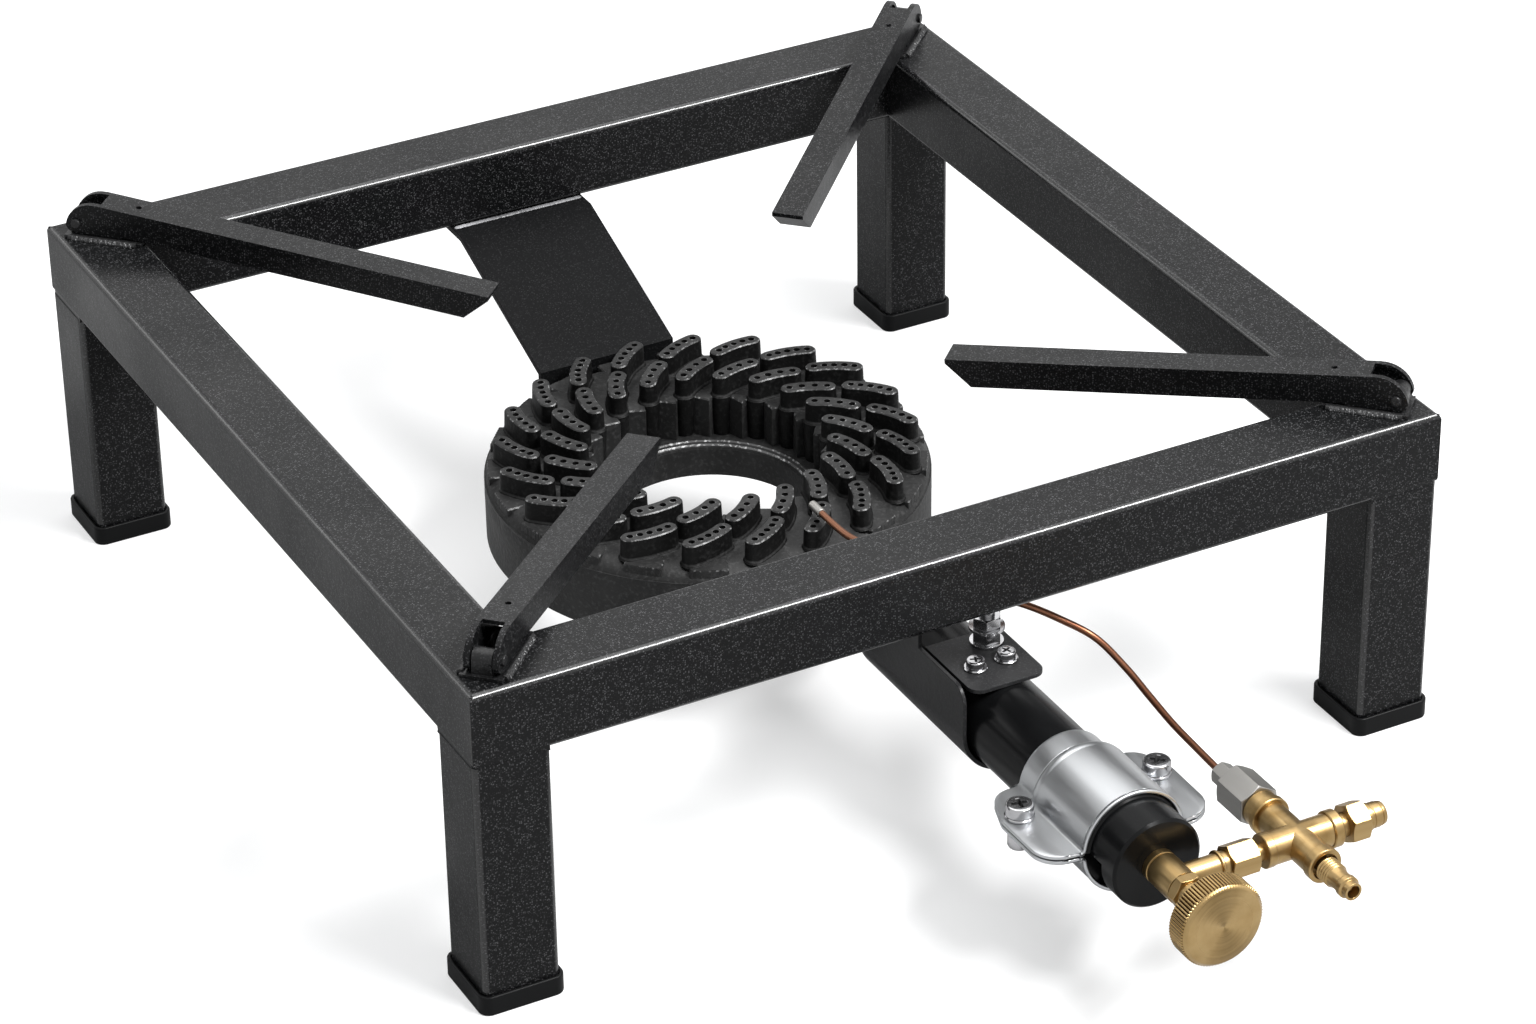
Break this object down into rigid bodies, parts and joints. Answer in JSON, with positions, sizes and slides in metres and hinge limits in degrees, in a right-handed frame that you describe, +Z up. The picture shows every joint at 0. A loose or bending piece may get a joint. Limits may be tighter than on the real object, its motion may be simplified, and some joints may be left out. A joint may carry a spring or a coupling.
{
  "type": "gas burner stove",
  "caption": "Low gas burner stove: square tube stand with folding pot arms, ribbed cast ring burner, clamped mixing tube, brass needle valve and push button flame guard with probe tube.",
  "frame": {"origin": "The middle of the outline at floor level: the stand's middle is 75.4 mm towards +Y of it.", "axes": "+X runs along the front rail towards the gas inlet, +Y from the valve towards the stand, +Z up."},
  "size_m": [0.4034, 0.5542, 0.1494],
  "materials": {
    "powder_black": "satin black powder coat with fine grain",
    "hinge_steel": "rough painted weld",
    "cap_plastic": "moulded black",
    "cast_black": "sand cast, black heat paint",
    "tube_black": "gloss black paint",
    "galvanised": "zinc plated sheet",
    "zinc_screws": "bright zinc",
    "brass": "turned brass",
    "nickel_steel": "satin nickel",
    "disc_rubber": "seal rubber",
    "copper": "drawn copper"
  },
  "bodies": {
    "stand": {"front_rail": "powder_black", "right_rail": "powder_black", "back_rail": "powder_black", "left_rail": "powder_black", "leg_front_left": "powder_black", "leg_front_right": "powder_black", "leg_back_right": "powder_black", "leg_back_left": "powder_black", "foot_caps": "cap_plastic", "hinge_front_left": "hinge_steel", "hinge_front_right": "hinge_steel", "hinge_back_right": "hinge_steel", "hinge_back_left": "hinge_steel", "burner_base": "cast_black", "burner_head": "cast_black", "burner_screws": "zinc_screws", "rear_strip": "powder_black", "strip_screws": "zinc_screws", "cradle": "powder_black", "cover_plate": "powder_black", "hanger_stud": "zinc_screws", "hanger_nut": "zinc_screws", "plate_screws": "zinc_screws", "mixing_tube": "tube_black", "air_cup": "tube_black", "clamp_upper": "galvanised", "clamp_lower": "galvanised", "clamp_screws": "zinc_screws", "clamp_nuts": "zinc_screws", "injector": "brass", "valve_body": "brass", "gland_nut": "brass", "union_nut": "brass", "link_pipe": "brass", "cross_body": "brass", "inlet_nut": "brass", "inlet_tail": "brass", "magnet_nut": "nickel_steel", "magnet_unit": "nickel_steel", "valve_spring": "nickel_steel", "button_bush": "brass", "button_spring": "nickel_steel", "probe_nut": "nickel_steel", "probe_tube": "copper", "probe_tip": "nickel_steel", "probe_clip": "powder_black"},
    "pot_arm_front_left": {"arm_front_left": "powder_black", "pin_front_left": "hinge_steel"},
    "pot_arm_front_right": {"arm_front_right": "powder_black", "pin_front_right": "hinge_steel"},
    "pot_arm_back_right": {"arm_back_right": "powder_black", "pin_back_right": "hinge_steel"},
    "pot_arm_back_left": {"arm_back_left": "powder_black", "pin_back_left": "hinge_steel"},
    "needle": {"spindle": "nickel_steel"},
    "hand_knob": {"knob": "brass"},
    "push_button": {"button": "brass"},
    "guard_disc": {"valve_disc": "disc_rubber"}
  },
  "joints": [
    {"name": "fold_front_left", "type": "hinge", "parent": "stand", "child": "pot_arm_front_left", "pos_m": [-0.1884, -0.113, 0.1405], "axis": [0.7071, -0.7071, 0], "range_deg": [0, 130]},
    {"name": "fold_front_right", "type": "hinge", "parent": "stand", "child": "pot_arm_front_right", "pos_m": [0.1884, -0.113, 0.1405], "axis": [0.7071, 0.7071, 0], "range_deg": [0, 130]},
    {"name": "fold_back_right", "type": "hinge", "parent": "stand", "child": "pot_arm_back_right", "pos_m": [0.1884, 0.2638, 0.1405], "axis": [-0.7071, 0.7071, 0], "range_deg": [0, 130]},
    {"name": "fold_back_left", "type": "hinge", "parent": "stand", "child": "pot_arm_back_left", "pos_m": [-0.1884, 0.2638, 0.1405], "axis": [-0.7071, -0.7071, 0], "range_deg": [0, 130]},
    {"name": "needle_slide", "type": "slide", "parent": "stand", "child": "needle", "axis": [0, -1, 0], "range_m": [0, 0.002]},
    {"name": "knob_turn", "type": "hinge", "parent": "needle", "child": "hand_knob", "pos_m": [0.013, -0.2676, 0.057], "axis": [0, -1, 0], "range_deg": [0, 720]},
    {"name": "button_push", "type": "slide", "parent": "stand", "child": "push_button", "axis": [0, 1, 0], "range_m": [0, 0.003], "stiffness_N_per_m": 600, "springref_m": -0.002, "deforming": ["button_spring"]},
    {"name": "disc_lift", "type": "slide", "parent": "stand", "child": "guard_disc", "axis": [0, 1, 0], "range_m": [0, 0.003], "deforming": ["valve_spring"]}
  ],
  "couplings": [
    {"joint": "needle_slide", "follows": "knob_turn", "m_per_rad": 0.00015915},
    {"joint": "disc_lift", "follows": "button_push", "ratio": 1}
  ]
}
